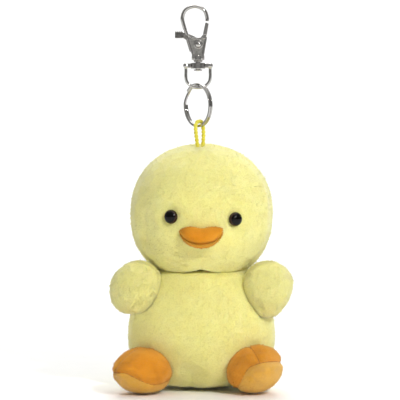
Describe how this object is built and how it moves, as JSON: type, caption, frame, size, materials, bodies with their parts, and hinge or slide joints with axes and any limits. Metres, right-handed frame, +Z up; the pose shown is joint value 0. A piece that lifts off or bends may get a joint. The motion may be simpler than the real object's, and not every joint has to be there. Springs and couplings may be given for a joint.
{
  "type": "plush keychain",
  "caption": "Stuffed sitting duckling that hangs by a twisted cord loop from a split ring, a swivel bail and a spring-gated snap hook.",
  "frame": {"origin": "on the swivel axis, at the inside top of the hook's eye, where a bag ring or zip pull bears", "axes": "+Z up along the swivel axis, the duckling faces -Y, +X is the duckling's left"},
  "size_m": [0.0844, 0.0715, 0.1764],
  "materials": {
    "bright_chrome": "gloss",
    "spring_steel": "satin",
    "yellow_cord": "satin",
    "yellow_plush": "matte",
    "orange_beak": "matte",
    "orange_plush": "matte",
    "sole_plush": "matte",
    "polyfill": "matte",
    "eye_gloss": "polished",
    "washer_plastic": "satin",
    "pouch_cloth": "matte"
  },
  "bodies": {
    "hook": {"hook_body": "bright_chrome", "gate_rivet": "bright_chrome", "gate_spring": "spring_steel", "swivel_pin": "bright_chrome"},
    "gate": {"gate_lever": "bright_chrome"},
    "bail": {"bail": "bright_chrome"},
    "ring": {"split_ring": "bright_chrome"},
    "plush": {"hang_cord": "yellow_cord", "cord_knot": "yellow_cord", "face_panel_left": "yellow_plush", "face_panel_right": "yellow_plush", "head_back_panel": "yellow_plush", "head_stuffing": "polyfill", "left_eye": "eye_gloss", "left_eye_washer": "washer_plastic", "right_eye": "eye_gloss", "right_eye_washer": "washer_plastic", "upper_beak": "orange_beak", "lower_beak": "orange_beak", "beak_stuffing": "polyfill", "torso_front_panel": "yellow_plush", "torso_back_panel": "yellow_plush", "torso_stuffing": "polyfill", "pellet_pouch": "pouch_cloth", "tail": "yellow_plush"},
    "left_wing": {"left_wing_front": "yellow_plush", "left_wing_back": "yellow_plush", "left_wing_stuffing": "polyfill"},
    "right_wing": {"right_wing_front": "yellow_plush", "right_wing_back": "yellow_plush", "right_wing_stuffing": "polyfill"},
    "left_foot": {"left_foot_upper": "orange_plush", "left_foot_sole": "sole_plush", "left_foot_stuffing": "polyfill"},
    "right_foot": {"right_foot_upper": "orange_plush", "right_foot_sole": "sole_plush", "right_foot_stuffing": "polyfill"}
  },
  "joints": [
    {"name": "gate_swing", "type": "hinge", "parent": "hook", "child": "gate", "pos_m": [0.0001, 0, -0.0164], "axis": [0, -1, 0], "range_deg": [0, 24], "stiffness_Nm_per_rad": 0.03, "springref_deg": -20.05},
    {"name": "bail_swivel", "type": "hinge", "parent": "hook", "child": "bail", "pos_m": [0, 0, -0.0262], "axis": [0, 0, 1], "continuous": true},
    {"name": "ring_rock", "type": "hinge", "parent": "bail", "child": "ring", "pos_m": [0, 0, -0.03635], "axis": [1, 0, 0], "range_deg": [-35, 35]},
    {"name": "plush_swing", "type": "hinge", "parent": "ring", "child": "plush", "pos_m": [0, 0, -0.054], "axis": [0.5878, -0.809, 0], "range_deg": [-40, 40]},
    {"name": "left_wing_lift", "type": "hinge", "parent": "plush", "child": "left_wing", "pos_m": [0.0286, -0.0012, -0.127], "axis": [0, 0, 1], "range_deg": [0, 35], "stiffness_Nm_per_rad": 0.004},
    {"name": "right_wing_lift", "type": "hinge", "parent": "plush", "child": "right_wing", "pos_m": [-0.0254, -0.0012, -0.127], "axis": [0, 0, -1], "range_deg": [0, 35], "stiffness_Nm_per_rad": 0.004},
    {"name": "left_foot_droop", "type": "hinge", "parent": "plush", "child": "left_foot", "pos_m": [0.0258, -0.008, -0.174], "axis": [1, 0, 0], "range_deg": [0, 20], "stiffness_Nm_per_rad": 0.02},
    {"name": "right_foot_droop", "type": "hinge", "parent": "plush", "child": "right_foot", "pos_m": [-0.0258, -0.008, -0.174], "axis": [1, 0, 0], "range_deg": [0, 20], "stiffness_Nm_per_rad": 0.02}
  ]
}
